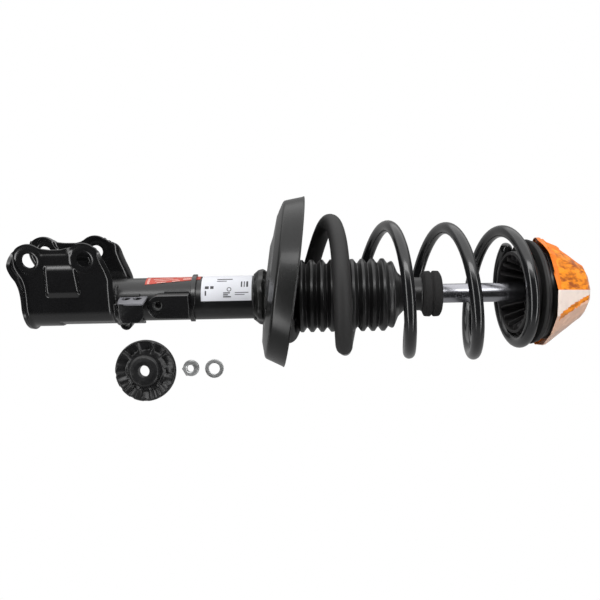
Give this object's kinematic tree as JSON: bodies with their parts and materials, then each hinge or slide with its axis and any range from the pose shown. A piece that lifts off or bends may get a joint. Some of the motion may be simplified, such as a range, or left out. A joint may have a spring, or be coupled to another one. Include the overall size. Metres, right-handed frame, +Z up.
{
  "type": "suspension strut assembly",
  "caption": "Loaded MacPherson strut: damper with knuckle bracket, coil spring on two seats, dust boot and top mount, lying on its side beside its loose stopper plate, nut and washer.",
  "frame": {"origin": "centre of the bounding box's footprint, on the surface that the strut lies on", "axes": "+X along the damper from the knuckle bracket to the top mount, +Z up through the bracket's two ears"},
  "size_m": [0.5918, 0.1983, 0.1773],
  "materials": {
    "black_paint": "gloss black paint",
    "spring_paint": "gloss black powder coat",
    "grey_paint": "satin dark grey",
    "steel": "machined",
    "chrome": "hard chrome",
    "zinc": "zinc plated",
    "rubber": "matte",
    "moulded_rubber": "moulded over steel",
    "sleeve": "matte hose",
    "boot_rubber": "satin bellows",
    "foam": "fine cell foam",
    "plastic": "glass-filled nylon",
    "film": "orange film",
    "red_paper": "printed label",
    "white_paper": "printed label"
  },
  "bodies": {
    "strut_body": {"outer_tube": "black_paint", "base_cap": "steel", "foot_valve": "steel", "pressure_tube": "steel", "rod_guide": "steel", "rod_bushing": "steel", "rod_seal": "rubber", "tube_end_cap": "steel", "knuckle_bracket": "black_paint", "brake_hose_bracket": "grey_paint", "stabiliser_link_bracket": "black_paint", "link_weld_nut": "zinc", "link_bracket_band": "black_paint", "lower_spring_seat": "black_paint", "lower_isolator": "rubber", "lower_seat_collar": "black_paint", "coil_spring": "spring_paint", "spring_sleeve": "sleeve", "dust_boot": "boot_rubber", "white_label": "white_paper", "red_label": "red_paper"},
    "upper_seat": {"upper_spring_seat": "plastic", "upper_isolator": "rubber", "bearing_lower_race": "steel"},
    "top_mount": {"piston_rod": "chrome", "piston": "steel", "piston_ring": "plastic", "piston_nut": "steel", "rebound_stop": "plastic", "bearing_cage": "plastic", "bearing_ball_01": "steel", "bearing_ball_02": "steel", "bearing_ball_03": "steel", "bearing_ball_04": "steel", "bearing_ball_05": "steel", "bearing_ball_06": "steel", "bearing_ball_07": "steel", "bearing_ball_08": "steel", "bearing_ball_09": "steel", "bearing_ball_10": "steel", "bearing_ball_11": "steel", "bearing_ball_12": "steel", "bearing_upper_race": "steel", "mount_shell": "black_paint", "mount_rubber": "rubber", "mount_core": "steel", "rod_nut": "zinc"},
    "bumper": {"jounce_bumper": "foam"},
    "cover": {"protective_cover": "film"},
    "stopper": {"stopper_plate": "moulded_rubber"},
    "nut": {"lock_nut": "zinc"},
    "washer": {"flat_washer": "zinc"}
  },
  "joints": [
    {"name": "strut_travel", "type": "slide", "parent": "strut_body", "child": "upper_seat", "axis": [-1, 0, 0], "range_m": [0, 0.11], "stiffness_N_per_m": 20000, "springref_m": -0.03, "deforming": ["coil_spring", "spring_sleeve"]},
    {"name": "bearing_swivel", "type": "hinge", "parent": "upper_seat", "child": "top_mount", "pos_m": [0.2516, 0.0095, 0.0731], "axis": [1, 0, 0], "continuous": true},
    {"name": "bumper_slide", "type": "slide", "parent": "strut_body", "child": "bumper", "axis": [-1, 0, 0], "range_m": [0, 0.033], "deforming": ["dust_boot"]},
    {"name": "cover_pull", "type": "slide", "parent": "top_mount", "child": "cover", "axis": [1, 0, 0], "range_m": [0, 0.08]},
    {"name": "stopper_slide", "type": "slide", "parent": "strut_body", "child": "stopper", "axis": [0, -1, 0], "range_m": [0, 0.06]},
    {"name": "nut_slide", "type": "slide", "parent": "strut_body", "child": "nut", "axis": [0, -1, 0], "range_m": [0, 0.035]},
    {"name": "washer_slide", "type": "slide", "parent": "strut_body", "child": "washer", "axis": [0, -1, 0], "range_m": [0, 0.06]}
  ],
  "couplings": [
    {"joint": "bumper_slide", "follows": "strut_travel", "ratio": 0.3}
  ]
}
